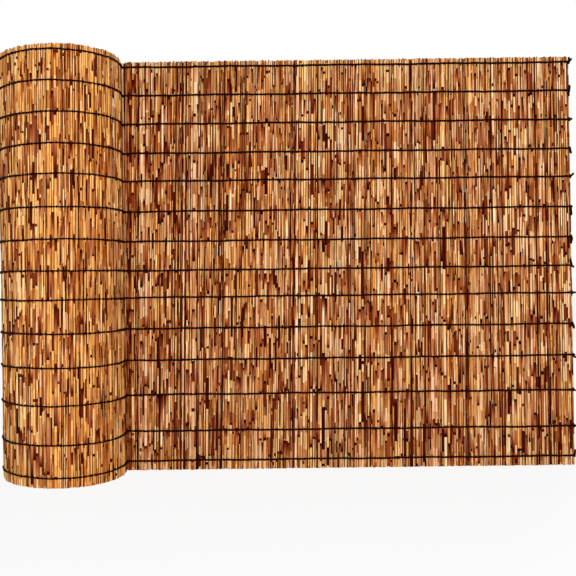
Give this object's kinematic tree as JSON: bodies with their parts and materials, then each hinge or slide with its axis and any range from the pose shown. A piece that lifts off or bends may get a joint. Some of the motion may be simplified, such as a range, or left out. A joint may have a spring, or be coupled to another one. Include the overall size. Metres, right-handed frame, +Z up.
{
  "type": "reed fencing",
  "caption": "Natural reed fencing: a mat of upright reeds bound by rows of black wire, standing on its reed ends with one stretch unrolled flat and the rest wound in a roll.",
  "frame": {"origin": "on the ground, under the middle of the whole outline", "axes": "+X along the flat panel from the roll to the free end, +Y from the panel's front to its back, +Z up along the reeds"},
  "size_m": [1.4084, 0.3128, 1],
  "materials": {
    "reed": "dry natural reed, brown to straw, with darker sheaths",
    "wire": "black coated binding wire"
  },
  "bodies": {
    "root": {"reed_mat": "reed", "front_wire_01": "wire", "front_wire_02": "wire", "front_wire_03": "wire", "front_wire_04": "wire", "front_wire_05": "wire", "front_wire_06": "wire", "front_wire_07": "wire", "front_wire_08": "wire", "front_wire_09": "wire", "front_wire_10": "wire", "front_wire_11": "wire", "front_wire_12": "wire", "front_wire_13": "wire", "front_wire_14": "wire", "back_wire_01": "wire", "back_wire_02": "wire", "back_wire_03": "wire", "back_wire_04": "wire", "back_wire_05": "wire", "back_wire_06": "wire", "back_wire_07": "wire", "back_wire_08": "wire", "back_wire_09": "wire", "back_wire_10": "wire", "back_wire_11": "wire", "back_wire_12": "wire", "back_wire_13": "wire", "back_wire_14": "wire"}
  },
  "joints": []
}
